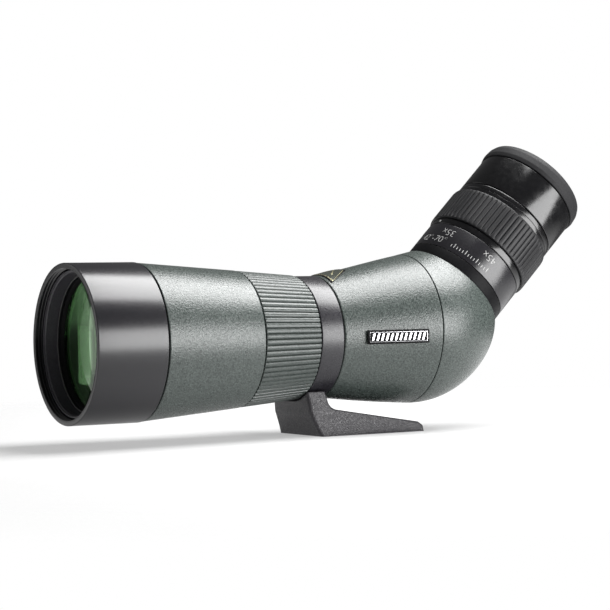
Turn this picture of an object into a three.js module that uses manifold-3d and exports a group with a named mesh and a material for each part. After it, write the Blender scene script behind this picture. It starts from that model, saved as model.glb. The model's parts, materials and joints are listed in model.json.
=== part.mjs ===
// Angled 65 mm spotting scope: objective barrel with a sliding hood, ribbed focus ring, prism
// housing, and a 45 degree zoom eyepiece, held in a collar that turns on a tripod foot.
// Millimetres, +Z up. The objective looks along -X and the origin is the middle of the foot's base.
import * as THREE from 'three';
import { mergeVertices } from 'three/addons/utils/BufferGeometryUtils.js';
import Module from 'manifold-3d';

const wasm = await Module();
wasm.setup();

// ---------------------------------------------------------------- driving dimensions
const AXIS_HEIGHT = 52; // barrel axis above the foot's base
const BEND_X = 41; // where the eyepiece axis leaves the barrel axis
const BEND_ANGLE = Math.PI / 4;
const GAP = 0.3; // assembly gap between two pieces that meet
const SHELL = 3; // wall of the housing and the rear cover

const OUTER_SIDES = 30; // facets round the large rings
const INNER_SIDES = 16; // facets round the small rings and the lenses
const SCREW_SIDES = 12;

// Joint lines along the barrel, as x
const HOOD_FRONT = -167;
const HOOD_REAR = -129;
const BARREL_FRONT = -128.2;
const BARREL_REAR = -71.8;
const FOCUS_FRONT = -71;
const FOCUS_REAR = -37.2;
const COLLAR_FRONT = -36.6;
const COLLAR_REAR = -23.1;
const HOUSING_FRONT = -22.5;
const COVER_SEAM = 32.8;
const SEAM_HALF = 0.6;

const HOOD_RADIUS = 41;
const HOOD_BORE = 37.9;
const NOSE_DEPTH = 3.8; // how far the nose sits behind the hood's rim
const NOSE_RADIUS = 37.3;
const NOSE_BORE = 35.7;
const LENS_POCKET = 35;
const OBJECTIVE_RADIUS = 34.6; // glass, with 65 mm of it clear
const CHASSIS_RADIUS = 29.5;
const CHASSIS_BORE = 27.3;
const TURNING_BORE = 30; // bore of the rings that turn on the chassis tube
const COLLAR_RADIUS = 32.6;
const COLLAR_BORE = 31;
const FOCUS_RADIUS_FRONT = 35.9;
const FOCUS_RADIUS_REAR = 33.1;
const FOCUS_FLUTES = 36;
const FOCUS_MIDDLE = -55; // rest place of the focusing group
const FOCUS_LENS_RADIUS = 21.4;

// Stations along the eyepiece, measured from the bend
const COVER_FACE = 33.3;
const MOUNT_TOP = 40;
const SCALE_TOP = 55.7;
const ZOOM_BOTTOM = 56.1;
const GRIP_BOTTOM = 59.9;
const GRIP_TOP = 82.1;
const ZOOM_TOP = 87.7;
const CUP_BOTTOM = 88.2;
const CUP_TOP = 109.4;
const RUBBER_TOP = 119.5;
const BODY_TOP = 104; // end of the fixed eyepiece tube

const COVER_FACE_RADIUS = 31.3;
const SPIGOT_BORE = 27;
const EYEPIECE_RADIUS = 30.3;
const EYEPIECE_TUBE_RADIUS = 26.5;
const EYEPIECE_BORE = 22;
const GRIP_RADIUS = 31.6;
const GRIP_FLUTES = 32;
const ZOOM_MIDDLE = 68; // rest place of the zoom group
const CELL_RADIUS = 21.6;

// Foot
const FOOT_HALF_WIDTH = 23.4;
const NECK_HALF_WIDTH = 18.6;
const NECK_TOP = 23.6;
const THREAD_X = -11;
const THREAD_RADIUS = 3.2; // 1/4"-20 socket
const INSERT_RADIUS = 5.2;
const INSERT_DEPTH = 9.5;
const PIN_HOLE_X = 8;
const PIN_HOLE_RADIUS = 2.4;
const PIN_HOLE_DEPTH = 5;
const COLLAR_MIDDLE = (COLLAR_FRONT + COLLAR_REAR) / 2;
const COLLAR_SCREW_X = -32;
const COLLAR_SCREW_Y = 9;
const KNOB_START = 38.4; // inner face of the lock knob, from the barrel axis
const KNOB_LENGTH = 12;
const KNOB_RADIUS = 9.5;
const LOCK_SCREW_RADIUS = 2.6;

// Erecting prism, as (x, z) corners with z above the base
const PRISM_OUTLINE = [[22, 37], [52, 37], [65.4, 54.4], [43.5, 76.4], [22, 68]];
const PRISM_HALF_WIDTH = 17;
const CRADLE_SCREW_X = 28;
const CRADLE_SCREW_Y = 4.5;

// Housing sections: x, then top, bottom and half-width measured from the barrel axis
const HOUSING_SECTIONS = [
  [HOUSING_FRONT, 32.4, 32.4, 32.4],
  [-16, 33.7, 33.2, 33.4],
  [-6, 35.6, 34.3, 35.1],
  [6, 38.1, 35.5, 37.2],
  [19, 40.9, 36.7, 39.6],
  [COVER_SEAM - SEAM_HALF, 43.4, 37.6, 42],
];

// ---------------------------------------------------------------- finishes
const FINISHES = {
  green: { color: 0x5d6457, roughness: 0.55, metalness: 0.3 },
  black: { color: 0x1b1a1d, roughness: 0.4, metalness: 0.6 },
  gloss: { color: 0x101011, roughness: 0.15, metalness: 0.2 },
  rubber: { color: 0x242325, roughness: 0.9, metalness: 0 },
  crackle: { color: 0x2c2a2f, roughness: 0.7, metalness: 0.4 },
  inner: { color: 0x141414, roughness: 0.8, metalness: 0.4 },
  brass: { color: 0xa8884a, roughness: 0.35, metalness: 1 },
  steel: { color: 0x9a9ba0, roughness: 0.3, metalness: 1 },
  nylon: { color: 0xc9c4b4, roughness: 0.6, metalness: 0 },
  felt: { color: 0x262626, roughness: 1, metalness: 0 },
  coated: { color: 0x3f6b45, roughness: 0.05, metalness: 0 },
  glass: { color: 0xbfd3cf, roughness: 0.05, metalness: 0 },
  plate: { color: 0x8d8f94, roughness: 0.35, metalness: 0.9 },
};

// ---------------------------------------------------------------- solids
function signedVolume(position, index) {
  const [a, b, c] = [new THREE.Vector3(), new THREE.Vector3(), new THREE.Vector3()];
  let volume = 0;
  for (let i = 0; i < index.length; i += 3) {
    a.fromArray(position, 3 * index[i]);
    b.fromArray(position, 3 * index[i + 1]);
    c.fromArray(position, 3 * index[i + 2]);
    volume += a.dot(b.cross(c)) / 6;
  }
  return volume;
}

// One closed body from any closed geometry: shared vertices merged, no empty triangles, faces out
function closed(geometry) {
  const bare = geometry.clone();
  for (const name of Object.keys(bare.attributes)) {
    if (name !== 'position') bare.deleteAttribute(name);
  }
  const merged = mergeVertices(bare, 1e-4);
  const faces = [];
  const all = merged.index.array;
  for (let i = 0; i < all.length; i += 3) {
    const [a, b, c] = [all[i], all[i + 1], all[i + 2]];
    if (a !== b && b !== c && c !== a) faces.push(a, b, c);
  }
  if (signedVolume(merged.attributes.position.array, faces) < 0) faces.reverse();
  const result = new THREE.BufferGeometry();
  result.setAttribute('position', merged.attributes.position.clone());
  result.setIndex(faces);
  result.computeVertexNormals();
  return result;
}

function toSolid(geometry) {
  const body = closed(geometry);
  const vertProperties = Float32Array.from(body.attributes.position.array);
  const triVerts = Uint32Array.from(body.index.array);
  return new wasm.Manifold(new wasm.Mesh({ numProp: 3, vertProperties, triVerts }));
}

function toGeometry(solid) {
  const mesh = solid.getMesh();
  const geometry = new THREE.BufferGeometry();
  geometry.setAttribute('position', new THREE.BufferAttribute(mesh.vertProperties, 3));
  geometry.setIndex(new THREE.BufferAttribute(mesh.triVerts, 1));
  geometry.computeVertexNormals();
  return geometry;
}

function cut(geometry, ...tools) {
  return toGeometry(tools.reduce((solid, tool) => solid.subtract(toSolid(tool)), toSolid(geometry)));
}

function join(geometry, ...others) {
  return toGeometry(others.reduce((solid, other) => solid.add(toSolid(other)), toSolid(geometry)));
}

// Turned piece from (radius, station) points; the axis is +Y. A ring's profile closes on itself.
function turned(profile, sides = OUTER_SIDES) {
  const points = profile.map(([radius, station]) => new THREE.Vector2(radius, station));
  const first = points[0];
  if (first.x > 0) points.push(first.clone());
  return closed(new THREE.LatheGeometry(points, sides));
}

function ring(inner, outer, from, to, sides = OUTER_SIDES) {
  return turned([[inner, from], [outer, from], [outer, to], [inner, to]], sides);
}

function disc(radius, from, to, sides = INNER_SIDES) {
  return turned([[0, from], [radius, from], [radius, to], [0, to]], sides);
}

// Lens between two spherical faces; each bulge is positive where the face is convex
function lens(radius, from, to, bulgeFrom, bulgeTo, sides = INNER_SIDES) {
  const steps = [0, 0.6, 1];
  const lower = steps.map((k) => [radius * k, from - bulgeFrom * (1 - k * k)]);
  const upper = steps.map((k) => [radius * k, to + bulgeTo * (1 - k * k)]).reverse();
  return turned([...lower, ...upper], sides);
}

// Ring with straight flutes; the outer radius runs from radiusFrom to radiusTo along it
function flutedRing(bore, radiusFrom, radiusTo, from, to, flutes, depth) {
  const outline = new THREE.Shape();
  for (let i = 0; i < 2 * flutes; i += 1) {
    const angle = (Math.PI * i) / flutes;
    const radius = i % 2 ? 1 - depth / radiusFrom : 1;
    const point = [radius * Math.cos(angle), radius * Math.sin(angle)];
    if (i) outline.lineTo(...point);
    else outline.moveTo(...point);
  }
  const length = to - from;
  const geometry = new THREE.ExtrudeGeometry(outline, { depth: length, bevelEnabled: false });
  geometry.rotateX(-Math.PI / 2);
  const position = geometry.attributes.position;
  for (let i = 0; i < position.count; i += 1) {
    const station = position.getY(i);
    const radius = THREE.MathUtils.lerp(radiusFrom, radiusTo, station / length);
    position.setXYZ(i, position.getX(i) * radius, station + from, position.getZ(i) * radius);
  }
  return cut(geometry, disc(bore, from - 1, to + 1, OUTER_SIDES));
}

// Closed body through a loop of rings with equal point counts; the last ring meets the first
function loopLoft(rings) {
  const sides = rings[0].length;
  const position = rings.flat().flatMap((point) => point.toArray());
  const index = [];
  rings.forEach((_, row) => {
    const next = (row + 1) % rings.length;
    for (let i = 0; i < sides; i += 1) {
      const j = (i + 1) % sides;
      const [a, b] = [row * sides + i, row * sides + j];
      const [c, d] = [next * sides + j, next * sides + i];
      index.push(a, b, c, a, c, d);
    }
  });
  const geometry = new THREE.BufferGeometry();
  geometry.setAttribute('position', new THREE.Float32BufferAttribute(position, 3));
  geometry.setIndex(index);
  return closed(geometry);
}

// Ellipse through the ends of its tilted height, with half its width along Y
function ellipse(centre, halfHeight, halfWidth) {
  return Array.from({ length: OUTER_SIDES }, (_, i) => {
    const angle = (2 * Math.PI * i) / OUTER_SIDES;
    const point = centre.clone().addScaledVector(halfHeight, Math.cos(angle));
    point.y += halfWidth * Math.sin(angle);
    return point;
  });
}

// Outline in the XZ plane, extruded evenly to both sides of y = 0
function slab(outline, halfWidth) {
  const shape = new THREE.Shape(outline.map(([x, z]) => new THREE.Vector2(x, z)));
  const geometry = new THREE.ExtrudeGeometry(shape, { depth: 2 * halfWidth, bevelEnabled: false });
  geometry.rotateX(Math.PI / 2);
  geometry.translate(0, halfWidth, 0);
  return closed(geometry);
}

// Outline in the YZ plane, extruded from one x to another
function channel(outline, from, to) {
  const shape = new THREE.Shape(outline.map(([y, z]) => new THREE.Vector2(y, z)));
  const geometry = new THREE.ExtrudeGeometry(shape, { depth: to - from, bevelEnabled: false });
  geometry.rotateX(Math.PI / 2);
  geometry.rotateZ(Math.PI / 2);
  geometry.translate(from, 0, 0);
  return closed(geometry);
}

// Upright round bar
function post(radius, x, y, from, to, sides = SCREW_SIDES) {
  const geometry = disc(radius, from, to, sides);
  geometry.rotateX(Math.PI / 2);
  geometry.translate(x, y, 0);
  return geometry;
}

// Radial pin on the +Z side of a turned piece, centred on a station
function radialPin(radius, station, from, to) {
  const geometry = disc(radius, from, to, SCREW_SIDES);
  geometry.rotateX(Math.PI / 2);
  geometry.translate(0, station, 0);
  return geometry;
}

function box(from, to) {
  const low = new THREE.Vector3(...from);
  const size = new THREE.Vector3(...to).sub(low);
  const geometry = new THREE.BoxGeometry(size.x, size.y, size.z);
  geometry.translate(low.x + size.x / 2, low.y + size.y / 2, low.z + size.z / 2);
  return geometry;
}

// ---------------------------------------------------------------- scene graph
const scope = new THREE.Group();
// Turned pieces have their axis along +Y. In these groups that axis lies along the barrel and along
// the eyepiece, and +X points to the -Y side of the scope.
const barrel = new THREE.Group();
barrel.position.z = AXIS_HEIGHT;
barrel.rotation.z = -Math.PI / 2;
const bend = new THREE.Group();
bend.position.set(BEND_X, 0, AXIS_HEIGHT);
bend.rotation.y = -BEND_ANGLE;
const eyepiece = new THREE.Group();
eyepiece.rotation.z = -Math.PI / 2;
bend.add(eyepiece);
scope.add(barrel, bend);
scope.updateMatrixWorld(true);

function add(group, name, finish, geometry) {
  const mesh = new THREE.Mesh(geometry, new THREE.MeshStandardMaterial(FINISHES[finish]));
  mesh.name = name;
  group.add(mesh);
}

const inBarrelPlace = (geometry) => geometry.applyMatrix4(barrel.matrixWorld);

// ---------------------------------------------------------------- foot and collar
// The foot narrows upwards from its base, fast at first
function footHalfWidth(z) {
  const share = z / NECK_TOP;
  return THREE.MathUtils.lerp(FOOT_HALF_WIDTH, NECK_HALF_WIDTH, Math.sqrt(share));
}

function foot() {
  const side = [
    [-31.9, 0], [-34.7, 6.7], [-36.9, 12.3], [-37.8, 19.4], [-38.5, NECK_TOP], [-27.1, NECK_TOP],
    [-25.9, 19.4], [-25.1, 16.8], [-23.6, 14.9], [-21.5, 13.8], [29.6, 5.1], [32.3, 3], [32, 0],
  ];
  const geometry = slab(side, 1);
  const position = geometry.attributes.position;
  for (let i = 0; i < position.count; i += 1) {
    position.setY(i, position.getY(i) * footHalfWidth(position.getZ(i)));
  }
  const saddle = inBarrelPlace(disc(COLLAR_RADIUS + GAP, -60, 40, OUTER_SIDES));
  const clearRadius = FOCUS_RADIUS_REAR + 2 * GAP;
  const ringClearance = inBarrelPlace(disc(clearRadius, -60, FOCUS_REAR + GAP, OUTER_SIDES));
  const screwHoles = [-1, 1].map((end) => post(2, COLLAR_SCREW_X, end * COLLAR_SCREW_Y, 11.5, 30));
  const insertPocket = post(INSERT_RADIUS + GAP, THREAD_X, 0, -1, INSERT_DEPTH + 2 * GAP, 24);
  const pinHole = post(PIN_HOLE_RADIUS, PIN_HOLE_X, 0, -1, PIN_HOLE_DEPTH, 16);
  return cut(geometry, saddle, ringClearance, insertPocket, pinHole, ...screwHoles);
}

function threadInsert() {
  const geometry = ring(THREAD_RADIUS, INSERT_RADIUS, GAP, INSERT_DEPTH, 24);
  geometry.rotateX(Math.PI / 2);
  geometry.translate(THREAD_X, 0, 0);
  return geometry;
}

// A bar along the clamp screw's line, on the +Y side of the collar
function clampBar(radius, from, to, sides = 20) {
  const geometry = disc(radius, from, to, sides);
  geometry.translate(COLLAR_MIDDLE, 0, AXIS_HEIGHT);
  return geometry;
}

function tripodCollar() {
  const chamfer = 0.8;
  const plain = inBarrelPlace(turned([
    [COLLAR_BORE, COLLAR_FRONT], [COLLAR_RADIUS - chamfer, COLLAR_FRONT],
    [COLLAR_RADIUS, COLLAR_FRONT + chamfer], [COLLAR_RADIUS, COLLAR_REAR - chamfer],
    [COLLAR_RADIUS - chamfer, COLLAR_REAR], [COLLAR_BORE, COLLAR_REAR],
  ]));
  const bossed = join(plain, clampBar(6.5, COLLAR_BORE + 0.6, KNOB_START - GAP - 0.2));
  const screwHoles = [-1, 1].map((side) => post(2, COLLAR_SCREW_X, side * COLLAR_SCREW_Y, 11.5, 30));
  return cut(bossed, clampBar(LOCK_SCREW_RADIUS + GAP, 20, 50), ...screwHoles);
}

function lockKnob() {
  const grip = flutedRing(3, KNOB_RADIUS, KNOB_RADIUS, KNOB_START, KNOB_START + KNOB_LENGTH, 12, 1);
  const cap = disc(KNOB_RADIUS - 2, KNOB_START + 7, KNOB_START + KNOB_LENGTH, 24);
  const geometry = join(grip, cap);
  geometry.translate(COLLAR_MIDDLE, 0, AXIS_HEIGHT);
  return geometry;
}

add(scope, 'foot', 'crackle', foot());
add(scope, 'thread_insert', 'brass', threadInsert());
add(scope, 'tripod_collar', 'black', tripodCollar());
const LINER = [TURNING_BORE - 0.1, COLLAR_BORE - GAP, COLLAR_FRONT + 0.4, COLLAR_REAR - 0.4];
add(barrel, 'collar_liner', 'nylon', ring(...LINER));
for (const [number, side] of [[1, -1], [2, 1]]) {
  const screw = post(1.7, COLLAR_SCREW_X, side * COLLAR_SCREW_Y, 12, 21.9);
  add(scope, `collar_screw_${number}`, 'steel', screw);
}
add(scope, 'lock_knob', 'black', lockKnob());
add(scope, 'lock_screw', 'steel', clampBar(LOCK_SCREW_RADIUS, COLLAR_BORE + 0.1, KNOB_START + 6.5));

// ---------------------------------------------------------------- objective end
const noseFront = HOOD_FRONT + NOSE_DEPTH;
add(barrel, 'sun_hood', 'black', turned([
  [HOOD_BORE, HOOD_FRONT], [HOOD_RADIUS - 0.5, HOOD_FRONT], [HOOD_RADIUS, HOOD_FRONT + 1],
  [HOOD_RADIUS, HOOD_REAR - 0.8], [HOOD_RADIUS - 0.6, HOOD_REAR], [HOOD_BORE, HOOD_REAR],
]));
add(barrel, 'hood_brake_ring', 'felt', ring(NOSE_RADIUS - 0.7, HOOD_BORE - GAP, -135.7, -132.3));
add(barrel, 'objective_tube', 'black', turned([
  [NOSE_BORE + GAP, noseFront], [NOSE_RADIUS, noseFront], [NOSE_RADIUS, -136], [NOSE_RADIUS - 1, -136],
  [NOSE_RADIUS - 1, -132], [NOSE_RADIUS, -132], [NOSE_RADIUS, -116.5], [32.6, -116.5],
  [32.6, -138.6], [LENS_POCKET, -138.6], [LENS_POCKET, -152.4], [NOSE_BORE, -152.4],
]));
add(barrel, 'objective_retaining_ring', 'inner', turned([
  [33, -153.9], [34.9, -156], [NOSE_BORE - GAP, -156], [NOSE_BORE - GAP, -152.8], [33, -152.8],
]));
add(barrel, 'objective_crown_lens', 'coated', lens(OBJECTIVE_RADIUS, -152.4, -147.6, 3.6, 3));
add(barrel, 'objective_flint_lens', 'glass', lens(OBJECTIVE_RADIUS, -147.2, -139.4, -3, 0.6));
add(barrel, 'front_barrel', 'green', turned([
  [NOSE_RADIUS + GAP, BARREL_FRONT], [40.2, BARREL_FRONT], [40.5, -127], [39.9, -120.2], [38, -97],
  [36.05, BARREL_REAR], [TURNING_BORE, BARREL_REAR], [TURNING_BORE, BARREL_REAR - 4],
  [33.4, BARREL_REAR - 4], [34.6, -112], [34.6, -116], [NOSE_RADIUS + GAP, -116],
]));
add(barrel, 'front_baffle', 'inner', ring(27, 34, -106, -105));
add(barrel, 'rear_baffle', 'inner', ring(25, 33.5, -92, -91));

// ---------------------------------------------------------------- chassis tube and focusing group
const slotHalf = 1.9;
const focusSlot = box([-slotHalf, FOCUS_MIDDLE - 10, 20], [slotHalf, FOCUS_MIDDLE + 10, 40]);
const chassis = ring(CHASSIS_BORE, CHASSIS_RADIUS, -80, -15);
add(barrel, 'chassis_tube', 'inner', cut(chassis, focusSlot));
add(barrel, 'chassis_nut', 'brass', ring(TURNING_BORE - 0.1, 32.6, BARREL_REAR - 8, BARREL_REAR - 4.3));
const focusBody = flutedRing(
  TURNING_BORE, FOCUS_RADIUS_FRONT, FOCUS_RADIUS_REAR, FOCUS_FRONT, FOCUS_REAR, FOCUS_FLUTES, 0.7,
);
const focusRelief = disc(31.6, FOCUS_MIDDLE - 11, FOCUS_MIDDLE + 11, OUTER_SIDES);
add(barrel, 'focus_ring', 'green', cut(focusBody, focusRelief));
add(barrel, 'focus_lens_cell', 'inner', turned([
  [19.6, -60.5], [27, -60.5], [27, -49.5], [FOCUS_LENS_RADIUS + GAP, -49.5],
  [FOCUS_LENS_RADIUS + GAP, -58.5], [19.6, -58.5],
], INNER_SIDES));
add(barrel, 'focus_lens', 'glass', lens(FOCUS_LENS_RADIUS, -57, -54, 1.2, -1));
add(barrel, 'focus_lens_retainer', 'inner', ring(19.6, FOCUS_LENS_RADIUS, -53.6, -50, INNER_SIDES));
add(barrel, 'focus_drive_pin', 'steel', radialPin(1.5, FOCUS_MIDDLE, 27.3, 31.2));

// ---------------------------------------------------------------- prism housing
function section([x, top, bottom, halfWidth], wall = 0) {
  const centre = new THREE.Vector3(x, 0, AXIS_HEIGHT + (top - bottom) / 2);
  const halfHeight = new THREE.Vector3(0, 0, (top + bottom) / 2 - wall);
  return ellipse(centre, halfHeight, halfWidth - wall);
}

const roundSection = (x, radius) => section([x, radius, radius, radius]);

function prismHousing() {
  const outer = HOUSING_SECTIONS.map((row) => section(row));
  const hollow = HOUSING_SECTIONS.slice(2).map((row) => section(row, SHELL)).reverse();
  const bore = CHASSIS_RADIUS + GAP;
  const shell = loopLoft([...outer, ...hollow, roundSection(-12, 28), roundSection(-13.5, bore),
    roundSection(HOUSING_FRONT, bore)]);
  const holes = [-1, 1].flatMap((side) => [
    post(1.7, CRADLE_SCREW_X, side * CRADLE_SCREW_Y, 5, 30),
    post(2.9, CRADLE_SCREW_X, side * CRADLE_SCREW_Y, 5, 16.9),
  ]);
  return cut(shell, ...holes);
}

// Rear cover sections run from the upright seam to the sloping face of the eyepiece
const along = new THREE.Vector3(Math.cos(BEND_ANGLE), 0, Math.sin(BEND_ANGLE));
const upSide = new THREE.Vector3(-Math.sin(BEND_ANGLE), 0, Math.cos(BEND_ANGLE));
const bendPoint = new THREE.Vector3(BEND_X, 0, AXIS_HEIGHT);
const faceCentre = bendPoint.clone().addScaledVector(along, COVER_FACE);
const faceTop = faceCentre.clone().addScaledVector(upSide, COVER_FACE_RADIUS);
const faceBottom = faceCentre.clone().addScaledVector(upSide, -COVER_FACE_RADIUS);
const seamTop = new THREE.Vector3(COVER_SEAM + SEAM_HALF, 0, AXIS_HEIGHT + 43.6);
const seamBottom = new THREE.Vector3(COVER_SEAM + SEAM_HALF, 0, AXIS_HEIGHT - 37.6);
const topLine = new THREE.LineCurve3(seamTop, faceTop);
const bottomLine = new THREE.CubicBezierCurve3(
  seamBottom, seamBottom.clone().add(new THREE.Vector3(25, 0, -2.4)),
  faceBottom.clone().add(new THREE.Vector3(-2.6, 0, -20.9)), faceBottom,
);
const widthLine = new THREE.CubicBezierCurve(
  new THREE.Vector2(0, 42), new THREE.Vector2(1 / 3, 42.4), new THREE.Vector2(2 / 3, 38),
  new THREE.Vector2(1, COVER_FACE_RADIUS),
);

function coverSection(t, wall = 0) {
  const top = topLine.getPoint(t);
  const bottom = bottomLine.getPoint(t);
  const centre = top.clone().add(bottom).multiplyScalar(0.5);
  const halfHeight = top.clone().sub(centre);
  halfHeight.setLength(halfHeight.length() - wall);
  return ellipse(centre, halfHeight, widthLine.getPoint(t).y - wall);
}

function eyepieceCircle(station, radius) {
  const centre = bendPoint.clone().addScaledVector(along, station);
  return ellipse(centre, upSide.clone().multiplyScalar(radius), radius);
}

function rearCover() {
  const outer = [0, 0.15, 0.3, 0.45, 0.6, 0.75, 0.88, 1].map((t) => coverSection(t));
  const hollow = [0.5, 0.25, 0].map((t) => coverSection(t, SHELL));
  return loopLoft([...outer, eyepieceCircle(COVER_FACE, SPIGOT_BORE),
    eyepieceCircle(26, SPIGOT_BORE), ...hollow]);
}

function housingGasket() {
  const rim = [43.4, 37.6, 42].map((reach) => reach - 1.2);
  const [front, rear] = [COVER_SEAM - 0.3, COVER_SEAM + 0.3];
  return loopLoft([section([front, ...rim]), section([rear, ...rim]), section([rear, ...rim], 1.6),
    section([front, ...rim], 1.6)]);
}

// Point on the housing's skin, lifted off it, at an angle from the top towards -Y
function housingSkin(x, angle, lift) {
  const row = HOUSING_SECTIONS.findIndex(([station]) => station > x);
  const [low, high] = [HOUSING_SECTIONS[row - 1], HOUSING_SECTIONS[row]];
  const share = (x - low[0]) / (high[0] - low[0]);
  const [top, bottom, halfWidth] = [1, 2, 3].map((k) => THREE.MathUtils.lerp(low[k], high[k], share));
  return new THREE.Vector3(
    x, -(halfWidth + lift) * Math.sin(angle),
    AXIS_HEIGHT + (top - bottom) / 2 + ((top + bottom) / 2 + lift) * Math.cos(angle),
  );
}

// Shield-shaped plate that follows the top of the housing
function indexPlate() {
  const stations = [[-20.5, 0.52], [-16, 0.48], [-11.5, 0.36], [-8, 0.22], [-6.4, 0.08]];
  const columns = [-1, -0.6, -0.2, 0.2, 0.6, 1];
  const rings = columns.map((share) => {
    const upper = stations.map(([x, reach]) => housingSkin(x, share * reach, 1.2));
    const lower = stations.map(([x, reach]) => housingSkin(x, share * reach, 0.4)).reverse();
    return [...upper, ...lower];
  });
  const position = rings.flat().flatMap((point) => point.toArray());
  const sides = rings[0].length;
  const index = [];
  for (let row = 0; row < rings.length - 1; row += 1) {
    for (let i = 0; i < sides; i += 1) {
      const j = (i + 1) % sides;
      const [a, b] = [row * sides + i, row * sides + j];
      index.push(a, b, b + sides, a, b + sides, a + sides);
    }
  }
  const half = stations.length;
  for (const [row, flip] of [[0, false], [rings.length - 1, true]]) {
    for (let i = 0; i < half - 1; i += 1) {
      const base = row * sides;
      const quad = [base + i, base + sides - 1 - i, base + sides - 2 - i, base + i + 1];
      if (flip) quad.reverse();
      index.push(quad[0], quad[1], quad[2], quad[0], quad[2], quad[3]);
    }
  }
  const geometry = new THREE.BufferGeometry();
  geometry.setAttribute('position', new THREE.Float32BufferAttribute(position, 3));
  geometry.setIndex(index);
  return closed(geometry);
}

function badgePlate() {
  const [length, height, thickness, corner] = [35, 7.3, 0.9, 1];
  const [x, y] = [length / 2, height / 2];
  const outline = new THREE.Shape([
    [-x, corner - y], [corner - x, -y], [x - corner, -y], [x, corner - y],
    [x, y - corner], [x - corner, y], [corner - x, y], [-x, y - corner],
  ].map((point) => new THREE.Vector2(...point)));
  const plate = new THREE.ExtrudeGeometry(outline, { depth: thickness, bevelEnabled: false });
  return closed(plate);
}

add(scope, 'prism_housing', 'green', prismHousing());
add(scope, 'rear_cover', 'green', rearCover());
add(scope, 'housing_gasket', 'rubber', housingGasket());
add(scope, 'index_plate', 'black', indexPlate());
const badge = new THREE.Group();
badge.position.set(6.5, -38.1, AXIS_HEIGHT - 0.4);
badge.rotation.set(Math.PI / 2, 0, -0.176, 'ZYX');
scope.add(badge);
add(badge, 'badge_plate', 'plate', badgePlate());

add(scope, 'erecting_prism', 'glass', slab(PRISM_OUTLINE, PRISM_HALF_WIDTH));
const cheek = PRISM_HALF_WIDTH + 0.4;
const cradle = channel([
  [-8, 21.2], [8, 21.2], [8, 31], [cheek + 2.4, 31], [cheek + 2.4, 60], [cheek, 60], [cheek, 36.6],
  [-cheek, 36.6], [-cheek, 60], [-cheek - 2.4, 60], [-cheek - 2.4, 31], [-8, 31],
], 23, 50);
const cradleHoles = [-1, 1].map((side) => post(1.7, CRADLE_SCREW_X, side * CRADLE_SCREW_Y, 15, 28));
add(scope, 'prism_cradle', 'inner', cut(cradle, ...cradleHoles));
const strap = cheek + 2.8;
add(scope, 'prism_clip', 'steel', channel([
  [-strap - 1.2, 42], [-strap, 42], [-strap, 73.4], [strap, 73.4], [strap, 42], [strap + 1.2, 42],
  [strap + 1.2, 74.6], [-strap - 1.2, 74.6],
], 26, 34));
for (const [number, side] of [[1, -1], [2, 1]]) {
  const screw = turned([
    [0, 15.2], [2.5, 15.2], [2.5, 16.5], [1.3, 16.5], [1.3, 27.4], [0, 27.4],
  ], SCREW_SIDES);
  screw.rotateX(Math.PI / 2);
  screw.translate(CRADLE_SCREW_X, side * CRADLE_SCREW_Y, 0);
  add(scope, `cradle_screw_${number}`, 'steel', screw);
}

// ---------------------------------------------------------------- eyepiece
add(eyepiece, 'eyepiece_mount_ring', 'black', turned([
  [EYEPIECE_BORE, 29], [SPIGOT_BORE - GAP, 29], [SPIGOT_BORE - GAP, COVER_FACE + GAP],
  [29.3, COVER_FACE + GAP], [29.3, 35.2], [EYEPIECE_RADIUS, 36.8], [EYEPIECE_RADIUS, MOUNT_TOP],
  [EYEPIECE_BORE, MOUNT_TOP],
]));
const zoomSlot = box([-1.7, ZOOM_MIDDLE - 8, 15], [1.7, ZOOM_MIDDLE + 8, 35]);
add(eyepiece, 'eyepiece_body', 'black', cut(turned([
  [EYEPIECE_BORE, MOUNT_TOP + GAP], [EYEPIECE_RADIUS, MOUNT_TOP + GAP], [EYEPIECE_RADIUS, SCALE_TOP],
  [EYEPIECE_TUBE_RADIUS, SCALE_TOP], [EYEPIECE_TUBE_RADIUS, BODY_TOP], [EYEPIECE_BORE, BODY_TOP],
]), zoomSlot));
const zoomCore = turned([
  [27, ZOOM_BOTTOM], [EYEPIECE_RADIUS, ZOOM_BOTTOM], [EYEPIECE_RADIUS, GRIP_BOTTOM],
  [29.2, GRIP_BOTTOM], [29.2, GRIP_TOP], [EYEPIECE_RADIUS, GRIP_TOP], [EYEPIECE_RADIUS, ZOOM_TOP],
  [27, ZOOM_TOP],
]);
const zoomRelief = disc(28.2, ZOOM_MIDDLE - 8, ZOOM_MIDDLE + 8, OUTER_SIDES);
add(eyepiece, 'zoom_ring', 'gloss', cut(zoomCore, zoomRelief));
const gripEnds = [GRIP_BOTTOM + GAP, GRIP_TOP - GAP];
const gripSleeve = flutedRing(29.6, GRIP_RADIUS, GRIP_RADIUS, ...gripEnds, GRIP_FLUTES, 0.6);
add(eyepiece, 'zoom_grip', 'rubber', gripSleeve);
add(eyepiece, 'zoom_lens_cell', 'inner', turned([
  [15.4, 62.5], [CELL_RADIUS, 62.5], [CELL_RADIUS, 73.5], [17.3, 73.5], [17.3, 64.5], [15.4, 64.5],
], INNER_SIDES));
add(eyepiece, 'zoom_lens', 'glass', lens(17, 66.6, 70.6, 1.4, 1));
add(eyepiece, 'zoom_drive_pin', 'steel', radialPin(1.3, ZOOM_MIDDLE, CELL_RADIUS + GAP, 27.8));

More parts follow.
